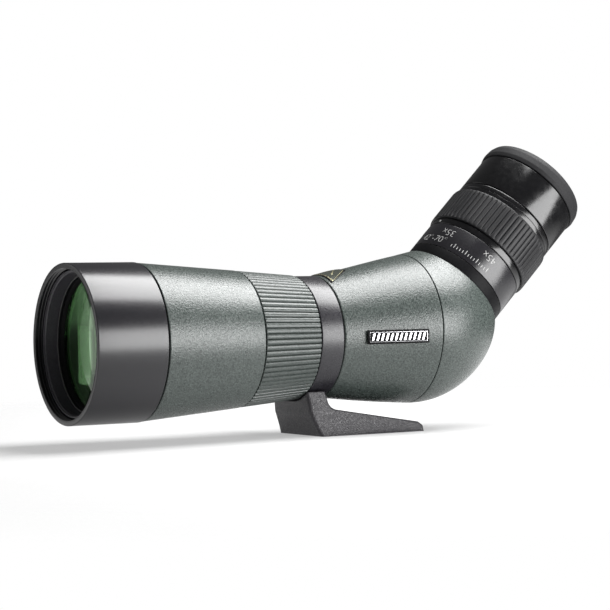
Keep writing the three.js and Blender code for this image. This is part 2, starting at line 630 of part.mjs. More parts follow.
add(eyepiece, 'field_lens_cell', 'inner', turned([
  [13, 42], [CELL_RADIUS, 42], [CELL_RADIUS, 49.5], [15.3, 49.5], [15.3, 43.8], [13, 43.8],
], INNER_SIDES));
add(eyepiece, 'field_lens', 'glass', lens(15, 45.4, 48, 1, 0.8));
add(eyepiece, 'field_stop', 'inner', ring(10, CELL_RADIUS, 52, 53, INNER_SIDES));
add(eyepiece, 'eye_lens_cell', 'inner', turned([
  [15.6, 88], [CELL_RADIUS, 88], [CELL_RADIUS, 103.8], [18, 103.8], [18, 90], [15.6, 90],
], INNER_SIDES));
add(eyepiece, 'inner_eye_lens', 'glass', lens(17.6, 91.4, 95, 0.8, 1.2));
add(eyepiece, 'eye_lens', 'coated', lens(17.6, 98.6, 102.4, 1.6, 0.9));
add(eyepiece, 'eye_lens_retainer', 'inner', ring(15.4, 21, 104.2, 105.2, INNER_SIDES));

const guideBore = EYEPIECE_TUBE_RADIUS + 0.5;
add(eyepiece, 'eyecup_guide', 'brass', ring(guideBore, 28, CUP_BOTTOM + 0.4, CUP_BOTTOM + 3.4));
add(eyepiece, 'eyecup_barrel', 'gloss', turned([
  [28.4, CUP_BOTTOM], [EYEPIECE_RADIUS, CUP_BOTTOM], [EYEPIECE_RADIUS, CUP_TOP], [21.5, CUP_TOP],
  [21.5, 106.8], [28.4, 106.8],
]));
add(eyepiece, 'eyecup_rubber', 'rubber', turned([
  [21, CUP_TOP + GAP], [31, CUP_TOP + GAP], [31.3, 112], [30.9, 116], [29.7, 118.4],
  [27.8, RUBBER_TOP], [25.4, RUBBER_TOP], [23.4, 117.6], [21.8, 113],
]));

export default scope;
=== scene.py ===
"""The looks of an angled spotting scope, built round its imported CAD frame. Metres, +Z up."""
import json
import math

import bmesh
import bpy
import numpy as np
from mathutils import Matrix, Vector


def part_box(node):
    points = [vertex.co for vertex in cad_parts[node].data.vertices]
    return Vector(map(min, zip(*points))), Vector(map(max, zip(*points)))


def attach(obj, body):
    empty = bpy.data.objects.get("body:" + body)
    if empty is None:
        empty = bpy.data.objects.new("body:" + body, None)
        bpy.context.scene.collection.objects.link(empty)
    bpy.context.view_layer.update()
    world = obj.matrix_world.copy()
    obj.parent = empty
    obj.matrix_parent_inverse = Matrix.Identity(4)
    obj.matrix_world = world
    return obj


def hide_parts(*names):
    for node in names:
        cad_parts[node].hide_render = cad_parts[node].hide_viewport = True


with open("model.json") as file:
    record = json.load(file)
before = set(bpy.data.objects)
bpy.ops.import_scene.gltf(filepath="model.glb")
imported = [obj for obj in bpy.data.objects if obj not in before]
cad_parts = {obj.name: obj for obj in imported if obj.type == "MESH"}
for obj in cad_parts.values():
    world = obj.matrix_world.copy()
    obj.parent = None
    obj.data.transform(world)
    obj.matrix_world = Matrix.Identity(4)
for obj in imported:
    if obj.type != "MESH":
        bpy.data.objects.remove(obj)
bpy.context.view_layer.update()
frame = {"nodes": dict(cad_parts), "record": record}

MM = 0.001
JOINTS = {joint["name"]: joint for joint in frame["record"]["behaviour"]["joints"]}
GAP = 0.3 * MM          # how far a bore stands clear of the part inside it
AXIS_HOLE = 0.02 * MM   # least radius of a turned outline, which never quite meets its axis
ROUND_BARREL = 256      # facets round the barrel's pieces
ROUND = 192             # facets round the eyepiece's pieces
ROUND_SMALL = 96        # facets round a lens or a bore
ROUND_TINY = 32         # facets round a dot
FACETS_PER_RIB = 12


# ------------------------------------------------------------------ measuring the frame
class Axis:
    """A turning axis. Stations run along it; angle 0 faces near and 90 degrees faces its upper side."""

    def __init__(self, origin, along, near=(0, -1, 0)):
        self.origin = Vector(origin)
        self.along = Vector(along).normalized()
        self.near = Vector(near)
        self.up = self.near.cross(self.along)

    def point(self, station, radius, degrees):
        angle = math.radians(degrees)
        spoke = self.near * math.cos(angle) + self.up * math.sin(angle)
        return self.origin + self.along * station + spoke * radius


class Span:
    """Where a CAD node lies on an axis: its first and last station, and its outer and inner radius."""

    def __init__(self, node, axis):
        data = frame["nodes"][node].data
        points = np.empty(3 * len(data.vertices))
        data.vertices.foreach_get("co", points)
        points = points.reshape(-1, 3) - np.array(axis.origin)
        self.stations = points @ np.array(axis.along)
        self.radii = np.linalg.norm(points - np.outer(self.stations, np.array(axis.along)), axis=1)
        self.first, self.last = float(self.stations.min()), float(self.stations.max())
        self.outer, self.inner = float(self.radii.max()), float(self.radii.min())

    def outer_at(self, station):
        """Largest radius within 0.6 mm of a station."""
        return float(self.radii[abs(self.stations - station) < 0.6 * MM].max())


ROLL = JOINTS["body_roll"]
BARREL = Axis((0, 0, ROLL["pos_m"][2]), ROLL["axis"])
ZOOM = JOINTS["zoom_turn"]
_bend_reach = (ZOOM["pos_m"][2] - BARREL.origin.z) / ZOOM["axis"][2]
BEND = Vector(ZOOM["pos_m"]) - Vector(ZOOM["axis"]) * _bend_reach
EYEPIECE = Axis(BEND, ZOOM["axis"])


# ------------------------------------------------------------------ mesh tools
def solid_mesh(name, vertices, faces):
    """Closed mesh with every face turned outwards."""
    mesh = bpy.data.meshes.new(name)
    mesh.from_pydata([tuple(v) for v in vertices], [], faces)
    mesh.validate()
    solid = bmesh.new()
    solid.from_mesh(mesh)
    bmesh.ops.recalc_face_normals(solid, faces=solid.faces)
    solid.to_mesh(mesh)
    solid.free()
    return mesh


def in_scene(name, data):
    thing = bpy.data.objects.new(name, data)
    bpy.context.collection.objects.link(thing)
    return thing


def evaluated_mesh(thing):
    """Copy of an object's mesh with its modifiers applied."""
    return bpy.data.meshes.new_from_object(thing.evaluated_get(bpy.context.evaluated_depsgraph_get()))


def loft_faces(rows, sides, closed=False):
    """Faces between rows of equal point counts. A closed loft joins its ends; an open one has caps."""
    faces = [] if closed else [tuple(range(sides))[::-1], tuple(range((rows - 1) * sides, rows * sides))]
    for row in range(rows if closed else rows - 1):
        after = (row + 1) % rows
        for i in range(sides):
            j = (i + 1) % sides
            faces.append((row * sides + i, row * sides + j, after * sides + j, after * sides + i))
    return faces


def joined(rows):
    """The points of all rows in one list."""
    return [point for row in rows for point in row]


def add_block(vertices, faces, corners):
    """Adds a block given by four corners and the four above them."""
    start = len(vertices)
    vertices += corners
    faces += [tuple(start + i for i in face) for face in loft_faces(2, 4)]


def new_piece(name, vertices, faces, material, body, smooth_angle=35):
    mesh = solid_mesh(name, vertices, faces)
    mesh.polygons.foreach_set("use_smooth", [True] * len(mesh.polygons))
    mesh.set_sharp_from_angle(angle=math.radians(smooth_angle))
    return place(name, mesh, material, body)


def place(name, mesh, material, body):
    """Puts a mesh on a CAD body, in one material or in a tuple of them."""
    piece = in_scene(name, mesh)
    for one in material if isinstance(material, tuple) else (material,):
        mesh.materials.append(one)
    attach(piece, body)
    return piece


def stands_for(piece, slot, *nodes):
    if nodes:
        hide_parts(*nodes)


def soften(outline, steps):
    """Rounds the corners of a closed outline of (station, radius, fillet) points."""
    points = [Vector((s, r)) for s, r, _ in outline]
    result = []
    for i, corner in enumerate(points):
        fillet = outline[i][2]
        before, after = points[i - 1], points[(i + 1) % len(points)]
        a, b = before - corner, after - corner
        if fillet <= 0 or a.length < 1e-9 or b.length < 1e-9:
            result.append(tuple(corner))
            continue
        half = a.angle(b) / 2
        reach = min(fillet / math.tan(half), 0.49 * a.length, 0.49 * b.length)
        start, end = corner + a.normalized() * reach, corner + b.normalized() * reach
        for k in range(steps + 1):
            t = k / steps
            result.append(tuple(start * (1 - t) ** 2 + corner * 2 * t * (1 - t) + end * t * t))
    return result


def turned(name, axis, outline, material, body, sides=ROUND, relief=None, corner_steps=4):
    """Closed ring turned from (station, radius, fillet) points. relief() moves its skin."""
    profile = soften(outline, corner_steps)
    vertices = []
    for i in range(sides):
        degrees = 360 * i / sides
        for station, radius in profile:
            if relief:
                radius += relief(station, radius, degrees)
            vertices.append(axis.point(station, radius, degrees))
    return new_piece(name, vertices, loft_faces(sides, len(profile), closed=True), material, body)


def ring(*corners, fillet):
    """Outline of a ring with one fillet for all its corners."""
    return [(station, radius, fillet) for station, radius in corners]


def lens_mesh(name, axis, radius, front, rear, front_bulge, rear_bulge, material, body):
    """Solid glass between two domed faces; a bulge is positive where the face is convex."""
    rings, sides = 20, ROUND_SMALL
    vertices, faces = [], []

    def cap(station, bulge, direction):
        start = len(vertices)
        vertices.append(axis.point(station + direction * bulge, 0, 0))
        for k in range(1, rings + 1):
            share = k / rings
            for i in range(sides):
                height = station + direction * bulge * (1 - share * share)
                vertices.append(axis.point(height, radius * share, 360 * i / sides))
        for i in range(sides):
            j = (i + 1) % sides
            faces.append((start, start + 1 + i, start + 1 + j))
            for k in range(rings - 1):
                a, b = start + 1 + k * sides, start + 1 + (k + 1) * sides
                faces.append((a + i, b + i, b + j, a + j))
        return start + 1 + (rings - 1) * sides

    rim_front = cap(front, front_bulge, -1)
    rim_rear = cap(rear, rear_bulge, 1)
    for i in range(sides):
        j = (i + 1) % sides
        faces.append((rim_front + i, rim_front + j, rim_rear + j, rim_rear + i))
    return new_piece(name, vertices, faces, material, body, smooth_angle=30)


CROWN = 0.3   # how far a land bows between two flutes, as a share of their depth


def flutes(count, depth, floor_share, ends, beyond):
    """Relief of straight grooves with rounded lands, on the skin beyond a radius.

    ends: the first and last station of the grooves, and the run they fade out over.
    """
    first, last, run = ends

    def relief(station, radius, degrees):
        if radius <= beyond:
            return 0.0
        phase = (degrees * count / 360) % 1
        from_middle = abs(phase - 0.5) * 2            # 0 in the middle of a land, 1 in the groove
        groove = min(1.0, max(0.0, (from_middle - (1 - floor_share)) / floor_share))
        groove = groove * groove * (3 - 2 * groove)
        crown = CROWN * (1 - math.cos(math.pi * from_middle)) / 2
        fade = min(1.0, max(0.0, min(station - first, last - station) / run))
        return -depth * (groove + crown) * fade

    return relief


# ------------------------------------------------------------------ materials
class Surface:
    """A Principled material with helpers for the patterns that drive it."""

    def __init__(self, name, colour, roughness, metallic=0.0, **sockets):
        self.material = bpy.data.materials.new(name)
        self.material.use_nodes = True
        self.tree = self.material.node_tree
        self.shader = self.tree.nodes["Principled BSDF"]
        self.coordinates = self.tree.nodes.new("ShaderNodeTexCoord").outputs["Object"]
        self.set("Base Color", (*colour, 1))
        self.set("Roughness", roughness)
        self.set("Metallic", metallic)
        for socket, value in sockets.items():
            self.set(socket.replace("_", " "), value)

    def set(self, socket, value):
        self.shader.inputs[socket].default_value = value

    def link(self, output, socket):
        self.tree.links.new(output, socket)

    def noise(self, scale, detail, stretch=(1, 1, 1)):
        mapping = self.tree.nodes.new("ShaderNodeMapping")
        mapping.inputs["Scale"].default_value = stretch
        self.link(self.coordinates, mapping.inputs["Vector"])
        node = self.tree.nodes.new("ShaderNodeTexNoise")
        node.inputs["Scale"].default_value = scale
        node.inputs["Detail"].default_value = detail
        self.link(mapping.outputs["Vector"], node.inputs["Vector"])
        return node.outputs["Fac"]

    def cells(self, scale):
        node = self.tree.nodes.new("ShaderNodeTexVoronoi")
        node.feature = "DISTANCE_TO_EDGE"
        node.inputs["Scale"].default_value = scale
        self.link(self.coordinates, node.inputs["Vector"])
        return node.outputs["Distance"]

    def ramp(self, source, low, high, start, end):
        """Runs from low to high while the source runs from start to end."""
        node = self.tree.nodes.new("ShaderNodeMapRange")
        for socket, value in (("From Min", start), ("From Max", end), ("To Min", low), ("To Max", high)):
            node.inputs[socket].default_value = value
        self.link(source, node.inputs["Value"])
        return node.outputs["Result"]

    def blend_colours(self, source, first, second):
        node = self.tree.nodes.new("ShaderNodeMix")
        node.data_type = "RGBA"
        node.inputs["A"].default_value = (*first, 1)
        node.inputs["B"].default_value = (*second, 1)
        self.link(source, node.inputs["Factor"])
        self.link(node.outputs["Result"], self.shader.inputs["Base Color"])

    def rough(self, source):
        self.link(source, self.shader.inputs["Roughness"])

    def bump(self, source, height):
        """Each call lays its height over the one before."""
        node = self.tree.nodes.new("ShaderNodeBump")
        node.inputs["Distance"].default_value = height
        node.inputs["Strength"].default_value = 1.0
        self.link(source, node.inputs["Height"])
        before = self.shader.inputs["Normal"].links
        if before:
            self.link(before[0].from_socket, node.inputs["Normal"])
        self.link(node.outputs["Normal"], self.shader.inputs["Normal"])


def mottled(name, dark, light, roughness, grain, height, metallic=0.0, variation=0.06, **sockets):
    """Coloured finish with a fine grain: two tones, uneven roughness and a low bump."""
    surface = Surface(name, dark, sum(roughness) / 2, metallic, **sockets)
    spread = 3 * variation
    tone = surface.ramp(surface.noise(grain, 3), 0, 1, 0.5 - spread, 0.5 + spread)
    surface.blend_colours(tone, dark, light)
    surface.rough(surface.ramp(surface.noise(grain * 0.8, 2), *roughness, 0.35, 0.65))
    surface.bump(surface.noise(grain, 2), height)
    return surface


def satin_black():
    surface = mottled("satin_black_anodised", (0.0075, 0.0072, 0.0088), (0.0115, 0.011, 0.0135), (0.23, 0.27),
                      1500, 0.000002, variation=0.1)
    surface.bump(surface.noise(5, 2, stretch=(400, 1, 1)), 0.000002)   # turning marks
    return surface.material


def black_rubber(name, roughness):
    return mottled(name, (0.006, 0.006, 0.0068), (0.0095, 0.0095, 0.0108), roughness, 2200, 0.00002,
                   variation=0.1, Specular_IOR_Level=0.3).material


def crackle_black():
    surface = mottled("crackle_black_paint", (0.008, 0.0072, 0.009), (0.036, 0.033, 0.039), (0.3, 0.54),
                      1500, 0.00014)
    surface.bump(surface.cells(1250), 0.0002)
    return surface.material


def bright_metal(name, colour, roughness):
    surface = mottled(name, tuple(c * 0.85 for c in colour), colour, roughness, 700, 0.000008, metallic=1.0)
    surface.bump(surface.noise(8, 2, stretch=(1, 1, 300)), 0.000006)   # brush marks
    return surface.material


def plain_cloth(name, dark, light):
    return mottled(name, dark, light, (0.85, 1.0), 1500, 0.0002, Sheen_Weight=0.2).material


def glass(name, colour, specular_tint, ior=1.52):
    surface = Surface(name, colour, 0.0, IOR=ior, Transmission_Weight=1.0)
    surface.set("Specular Tint", (*specular_tint, 1))
    surface.bump(surface.noise(30, 1), 0.0000005)
    return surface.material


GREEN = mottled("hammered_green_paint", (0.018, 0.024, 0.022), (0.072, 0.087, 0.08), (0.22, 0.38),
                1250, 0.00016).material
ARMOUR = mottled("ribbed_green_armour", (0.026, 0.033, 0.03), (0.064, 0.076, 0.071), (0.3, 0.42),
                 1250, 0.00012).material
SATIN = satin_black()
GLOSS = mottled("gloss_black_lacquer", (0.0025, 0.0025, 0.003), (0.004, 0.004, 0.0045), (0.15, 0.21),
                500, 0.000002, variation=0.1).material
RUBBER = black_rubber("ribbed_black_rubber", (0.44, 0.52))
SOFT = black_rubber("soft_black_rubber", (0.62, 0.74))
# Lighter copy of the satin black for the bore and front face of the objective tube: painted fill light,
# standing in for light that falls into the bore.
BORE_PAINTED_FILL = mottled("satin_black_bore_painted_fill_light", (0.05, 0.047, 0.056), (0.065, 0.062, 0.072), (0.32, 0.38),
               900, 0.000002).material
CRACKLE = crackle_black()
MATT = mottled("matt_black_flange", (0.004, 0.004, 0.0045), (0.007, 0.007, 0.0078), (0.38, 0.46),
               1200, 0.000004, Specular_IOR_Level=0.06).material
COLLAR = mottled("satin_black_collar", (0.0095, 0.009, 0.0115), (0.017, 0.016, 0.02), (0.27, 0.35),
                 1300, 0.00003).material
EYE_COATING = glass("violet_coated_eye_glass", (0.34, 0.42, 0.4), (0.6, 0.9, 0.75))
INTERIOR = mottled("matt_black_interior", (0.006, 0.006, 0.007), (0.011, 0.011, 0.012), (0.5, 0.65),
                   1800, 0.00003).material
BRIGHT = bright_metal("satin_nickel_plate", (0.62, 0.62, 0.64), (0.2, 0.3))
CELL = mottled("grey_lens_cell", (0.09, 0.09, 0.09), (0.11, 0.11, 0.11), (0.45, 0.5), 300, 0.000002).material
PLATE = mottled("grey_green_enamel", (0.03, 0.034, 0.027), (0.042, 0.047, 0.038), (0.25, 0.32),
                900, 0.000003).material
GOLD = bright_metal("pale_gold_plate", (0.66, 0.62, 0.4), (0.25, 0.4))
BRASS = bright_metal("turned_brass", (0.62, 0.46, 0.2), (0.25, 0.35))
STEEL = bright_metal("bright_screw_steel", (0.52, 0.52, 0.54), (0.22, 0.34))
MARK = mottled("white_engraving_paint", (0.3, 0.3, 0.3), (0.42, 0.42, 0.41), (0.45, 0.6),
               3000, 0.00001).material
NYLON = plain_cloth("pale_nylon", (0.5, 0.48, 0.42), (0.6, 0.58, 0.5))
FELT = plain_cloth("black_felt", (0.01, 0.01, 0.01), (0.02, 0.02, 0.02))
COATED = glass("green_coated_glass", (0.6, 0.86, 0.58), (0.6, 1.0, 0.55), 1.6)
CLEAR = glass("clear_optical_glass", (0.93, 0.98, 0.95), (0.8, 1.0, 0.8))

CAD_FINISHES = {
    "green_paint": GREEN, "green_rubber": ARMOUR, "black_metal": SATIN, "gloss_black": GLOSS,
    "black_rubber": RUBBER, "crackle_metal": CRACKLE, "silver_plate": BRIGHT, "inner_black": INTERIOR,
    "coated_glass": COATED, "clear_glass": CLEAR, "brass": BRASS, "steel": STEEL, "nylon": NYLON,
    "felt": FELT,
}


def finish_cad_nodes():
    for part in frame["record"]["subparts"]:
        for material_slot in frame["nodes"][part["node"]].material_slots:
            material_slot.material = CAD_FINISHES[part["material_slot"]]


# ------------------------------------------------------------------ objective end
def sun_hood():
    span = Span("sun_hood", BARREL)
    front, rear, outer, inner = span.first, span.last, span.outer, span.inner
    threads, pitch, root = 2, 1.7 * MM, inner + 0.8 * MM
    crisp = 0.05 * MM
    outline = [
        (front, outer - 0.1 * MM, 0.45 * MM), (rear, outer - 0.1 * MM, 0.5 * MM),
        (rear, inner, 0.2 * MM), (front + 3.9 * MM, inner, 0.1 * MM),
    ]
    for k in range(threads):
        start = front + 3.7 * MM - k * pitch
        outline += [(start, inner, crisp), (start - 0.35 * pitch, root, crisp),
                    (start - 0.5 * pitch, root, crisp), (start - 0.8 * pitch, inner, crisp)]
    outline += [(front + 0.35 * MM, inner, crisp), (front, inner + 0.35 * MM, 0.1 * MM)]
    hood = turned("hood_shell", BARREL, outline, SATIN, "lens_hood", ROUND_BARREL)
    stands_for(hood, "black_metal", "sun_hood")


def objective_tube():
    span = Span("objective_tube", BARREL)
    ring_span = Span("objective_retaining_ring", BARREL)
    crown = Span("objective_crown_lens", BARREL)
    front, rear, outer = span.first, span.last, span.outer
    bore = ring_span.outer + GAP
    seat = crown.outer + 0.4 * MM
    shoulder = Span("objective_flint_lens", BARREL).last + 0.9 * MM
    groove = Span("hood_brake_ring", BARREL)
    groove_front, groove_rear, groove_floor = groove.first - GAP, groove.last + GAP, groove.inner - GAP
    outline = [
        (front, outer - 0.05 * MM, 0.25 * MM), (groove_front, outer, 0), (groove_front, groove_floor, 0),
        (groove_rear, groove_floor, 0), (groove_rear, outer, 0), (rear, outer, 0.3 * MM),
        (rear, span.inner, 0.3 * MM), (shoulder, span.inner, 0.2 * MM), (shoulder, seat, 0.1 * MM),
        (ring_span.last + 0.2 * MM, seat, 0), (ring_span.last + 0.2 * MM, bore, 0),
        (front + 1.2 * MM, bore, 0.3 * MM), (front + 0.7 * MM, bore + 0.45 * MM, 0.1 * MM),
        (front, bore + 0.5 * MM, 0.15 * MM),
    ]
    tube = turned("nose_tube", BARREL, outline, (BORE_PAINTED_FILL, SATIN), "scope_body", ROUND_BARREL)
    # Bore and front face get the lighter black, which is painted fill light; the outer skin keeps the plain
    # satin black.
    outer_skin = outer - 0.3 * MM
    for polygon in tube.data.polygons:
        from_axis = math.hypot(polygon.center.y - BARREL.origin.y, polygon.center.z - BARREL.origin.z)
        polygon.material_index = int(from_axis > outer_skin)
    stands_for(tube, "black_metal", "objective_tube")

    # Spanner socket in the tube's front face
    socket = Axis(BARREL.point(front - 0.02 * MM, (bore + outer) / 2, -72), (1, 0, 0))
    pit_outline = ring((0, 0.2 * MM), (0, 0.6 * MM), (0.4 * MM, 0.6 * MM), (0.4 * MM, 0.2 * MM),
                       fillet=0.08 * MM)
    pit = turned("spanner_socket", socket, pit_outline, INTERIOR, "scope_body", ROUND_TINY)
    stands_for(pit, "inner_black")

    first, last, clear = ring_span.first, ring_span.last, ring_span.inner
    outline = [
        (first, bore - 0.3 * MM, 0.1 * MM), (last, bore - 0.3 * MM, 0.1 * MM),
        (last, clear - 0.5 * MM, 0.1 * MM), (last - 0.4 * MM, clear - 0.5 * MM, 0.1 * MM),
        (first + 1.6 * MM, clear + 0.3 * MM, 0.1 * MM), (first + 1.3 * MM, clear + 0.6 * MM, 0.1 * MM),
        (first + 1.3 * MM, bore - 1.2 * MM, 0.1 * MM), (first, bore - 1 * MM, 0.15 * MM),
    ]
    retainer = turned("front_retaining_ring", BARREL, outline, MATT, "scope_body", ROUND_BARREL)
    stands_for(retainer, "black_metal", "objective_retaining_ring")
    edge = ring((first - 0.05 * MM, bore - 1.1 * MM), (first - 0.05 * MM, bore - 0.35 * MM),
                (first + 0.4 * MM, bore - 0.35 * MM), (first + 0.4 * MM, bore - 1.1 * MM), fillet=0.1 * MM)
    lip = turned("retaining_ring_lip", BARREL, edge, CELL, "scope_body", ROUND_BARREL)
    stands_for(lip, "black_metal")


def objective_glass():
    crown = Span("objective_crown_lens", BARREL)
    flint = Span("objective_flint_lens", BARREL)
    radius = crown.outer
    near, far = crown.last - 7.3 * MM, flint.last - 0.2 * MM
    inner, outer = radius + 0.1 * MM, radius + 0.3 * MM
    spacer_outline = ring((near, inner), (near, outer), (far, outer), (far, inner), fillet=0.03 * MM)
    spacer = turned("lens_spacer", BARREL, spacer_outline, CELL, "scope_body")
    stands_for(spacer, "inner_black")
    front_bulge, middle_bulge, rear_bulge, cement = 3.6 * MM, 3 * MM, 0.6 * MM, 0.4 * MM
    middle = crown.last - middle_bulge
    doublet_front = lens_mesh("crown_glass", BARREL, radius, crown.first + front_bulge, middle,
                              front_bulge, middle_bulge, COATED, "scope_body")
    stands_for(doublet_front, "coated_glass", "objective_crown_lens")
    doublet_rear = lens_mesh("flint_glass", BARREL, radius, middle + cement, flint.last - rear_bulge,
                             -middle_bulge, rear_bulge, COATED, "scope_body")
    stands_for(doublet_rear, "clear_glass", "objective_flint_lens")


def front_barrel():
    span = Span("front_barrel", BARREL)
    front, rear = span.first, span.last
    outer_front, outer_rear = span.outer + 0.1 * MM, span.outer_at(rear)
    nose_bore = Span("objective_tube", BARREL).outer + GAP
    flange, nose_seat = 4 * MM, 12 * MM
    outline = [
        (front, outer_front, 0.7 * MM), (rear, outer_rear, 0.5 * MM), (rear, span.inner, 0.2 * MM),
        (rear - flange, span.inner, 0), (rear - flange, outer_rear - 2.6 * MM, 0),
        (front + nose_seat, outer_front - 5.9 * MM, 0), (front + nose_seat, nose_bore, 0),
        (front, nose_bore, 0.2 * MM),
    ]
    shell = turned("barrel_shell", BARREL, outline, GREEN, "scope_body", ROUND_BARREL, corner_steps=5)
    stands_for(shell, "green_paint", "front_barrel")


def focus_ring():
    span = Span("focus_ring", BARREL)
    front, rear = span.first, span.last
    outer_front, outer_rear = span.outer, span.outer_at(rear)
    ribs, steps = 76, 24
    outline = [(front, outer_front - 0.1 * MM, 0.35 * MM)]
    outline += [(front + (rear - front) * k / steps,
                 outer_front + (outer_rear - outer_front) * k / steps, 0) for k in range(1, steps)]
    outline += [(rear, outer_rear - 0.05 * MM, 0.35 * MM), (rear, span.inner, 0.2 * MM),
                (front, span.inner, 0.2 * MM)]
    relief = flutes(ribs, 0.8 * MM, 0.36, (front - 1 * MM, rear + 1 * MM, 0.6 * MM),
                    beyond=(span.inner + outer_rear) / 2)
    grip = turned("focus_grip", BARREL, outline, ARMOUR, "focus_control",
                  ribs * FACETS_PER_RIB, relief)
    stands_for(grip, "green_rubber", "focus_ring")


# ------------------------------------------------------------------ collar, knob and foot
def collar():
    span = Span("collar_liner", BARREL)
    low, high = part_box("tripod_collar")
    front, rear = low.x, high.x
    outer = BARREL.origin.z - low.z
    bore = span.outer + GAP
    outline = [(front, outer, 0.7 * MM), (rear, outer, 0.7 * MM),
               (rear, bore, 0.2 * MM), (front, bore, 0.2 * MM)]
    band = turned("collar_band", BARREL, outline, COLLAR, "tripod_mount", ROUND_BARREL)
    stands_for(band, "black_metal", "tripod_collar")

    knob_axis = Axis(((front + rear) / 2, 0, BARREL.origin.z), (0, 1, 0), (-1, 0, 0))
    screw = Span("lock_screw", knob_axis)
    boss_radius, boss_foot, hole = 6.5 * MM, outer - 0.9 * MM, screw.outer + GAP
    outline = [(boss_foot, boss_radius + 0.5 * MM, 0.5 * MM), (high.y, boss_radius, 0.6 * MM),
               (high.y, hole, 0.2 * MM), (boss_foot, hole, 0)]
    boss = turned("collar_boss", knob_axis, outline, SATIN, "tripod_mount", sides=64)
    stands_for(boss, "black_metal")

    knob = Span("lock_knob", knob_axis)
    first, last, radius = knob.first, knob.last, knob.outer
    dish = 1.2 * MM
    outline = [
        (first, radius - 0.2 * MM, 0.7 * MM), (last, radius, 0.9 * MM), (last, radius - 2.6 * MM, 0.3 * MM),
        (last - dish, radius - 3.1 * MM, 0.4 * MM), (last - dish, AXIS_HOLE, 0),
        (screw.last + GAP, AXIS_HOLE, 0), (screw.last + GAP, hole, 0), (first, hole, 0.2 * MM),
    ]
    ridge_count, facets_per_ridge = 32, 10
    relief = flutes(ridge_count, 0.5 * MM, 0.5, (first + 0.9 * MM, last - 1.2 * MM, 0.5 * MM),
                    beyond=radius - 0.6 * MM)
    grip = turned("knurled_knob", knob_axis, outline, SATIN, "lock_knob",
                  ridge_count * facets_per_ridge, relief)
    stands_for(grip, "black_metal", "lock_knob")


def cast_mesh(name, sharp_mesh, voxel, rounds):
    """A solid remeshed evenly and relaxed, so that its edges come out rounded like a casting's."""
    rough = in_scene(name, sharp_mesh)
    remesh = rough.modifiers.new("even", "REMESH")
    remesh.mode, remesh.voxel_size = "VOXEL", voxel
    relax = rough.modifiers.new("relax", "SMOOTH")
    relax.factor, relax.iterations = 0.5, rounds
    mesh = evaluated_mesh(rough)
    bpy.data.objects.remove(rough)
    mesh.polygons.foreach_set("use_smooth", [True] * len(mesh.polygons))
    return mesh


def cutter(name, axis, radius, first, last, sides=ROUND_SMALL):
    """Solid round bar used to cut a bore."""
    vertices = [axis.point(station, radius, 360 * i / sides)
                for station in (first, last) for i in range(sides)]
    return in_scene(name, solid_mesh(name, vertices, loft_faces(2, sides)))


# The foot's outline seen from the side: (height, X) pairs in mm
FOOT_FRONT = [(0, -31.9), (6.7, -34.7), (12.3, -36.9), (19.4, -37.8), (23.6, -38.5)]
FOOT_REAR = [(0, 32), (3, 32.3), (5.1, 29.6), (13.8, -21.5), (14.9, -23.6), (16.8, -25.1), (19.4, -25.9),
             (23.6, -27.1)]
FOOT_CORNER = 1.6 * MM
FOOT_NECK_HALF_WIDTH = 18.6 * MM
FOOT_LEVELS = 96
FOOT_VOXEL, FOOT_ROUNDS = 0.38 * MM, 5   # how finely the foot is remeshed, and how often it is relaxed
PIN_HOLE_X, PIN_HOLE_RADIUS, PIN_HOLE_DEPTH = 8 * MM, 2.4 * MM, 5 * MM


def foot_layer(z):
    """Rounded rectangle of the foot at one height, which flares towards the base."""
    corner_steps = 5
    height = z / MM
    front = np.interp(height, *zip(*FOOT_FRONT)) * MM
    rear = np.interp(height, *zip(*FOOT_REAR)) * MM
    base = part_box("foot")[1].y
    half = base + (FOOT_NECK_HALF_WIDTH - base) * math.sqrt(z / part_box("foot")[1].z)
    points = []
    for quarter, (x, y) in enumerate(((rear, half), (front, half), (front, -half), (rear, -half))):
        x -= math.copysign(FOOT_CORNER, x - (front + rear) / 2)
        y -= math.copysign(FOOT_CORNER, y)
        for k in range(corner_steps + 1):
            angle = math.radians(90 * (quarter + k / corner_steps))
            points.append((x + FOOT_CORNER * math.cos(angle), y + FOOT_CORNER * math.sin(angle), z))
    return points


def foot():
    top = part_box("foot")[1].z
    layers = [foot_layer(top * k / FOOT_LEVELS) for k in range(FOOT_LEVELS + 1)]
    sharp_mesh = solid_mesh("foot_block", joined(layers), loft_faces(len(layers), len(layers[0])))
    block = in_scene("foot_block", sharp_mesh)
    insert_low, insert_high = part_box("thread_insert")
    insert_radius = (insert_high.x - insert_low.x) / 2 + GAP
    upright = Axis(((insert_low.x + insert_high.x) / 2, 0, 0), (0, 0, 1))
    pin = Axis((PIN_HOLE_X, 0, 0), (0, 0, 1))
    band = BARREL.origin.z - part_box("tripod_collar")[0].z + GAP
    focus = Span("focus_ring", BARREL)
    ahead, behind, below = -60 * MM, 40 * MM, -1 * MM   # clear of the foot on those sides
    tools = [cutter("saddle", BARREL, band, ahead, behind, ROUND_BARREL),
             cutter("focus_clearance", BARREL, focus.outer_at(focus.last) + 2 * GAP, ahead,
                    focus.last + GAP, ROUND_BARREL),
             cutter("insert_pocket", upright, insert_radius, below, insert_high.z + GAP),
             cutter("pin_hole", pin, PIN_HOLE_RADIUS, below, PIN_HOLE_DEPTH)]
    for tool in tools:
        cut = block.modifiers.new(tool.name, "BOOLEAN")
        cut.operation, cut.object, cut.solver = "DIFFERENCE", tool, "EXACT"
    bpy.context.view_layer.update()
    cut_mesh = evaluated_mesh(block)
    for one in [block, *tools]:
        bpy.data.objects.remove(one)
    casting = place("foot_casting", cast_mesh("foot_rough", cut_mesh, FOOT_VOXEL, FOOT_ROUNDS), CRACKLE,
                    "tripod_mount")
    stands_for(casting, "crackle_metal", "foot")


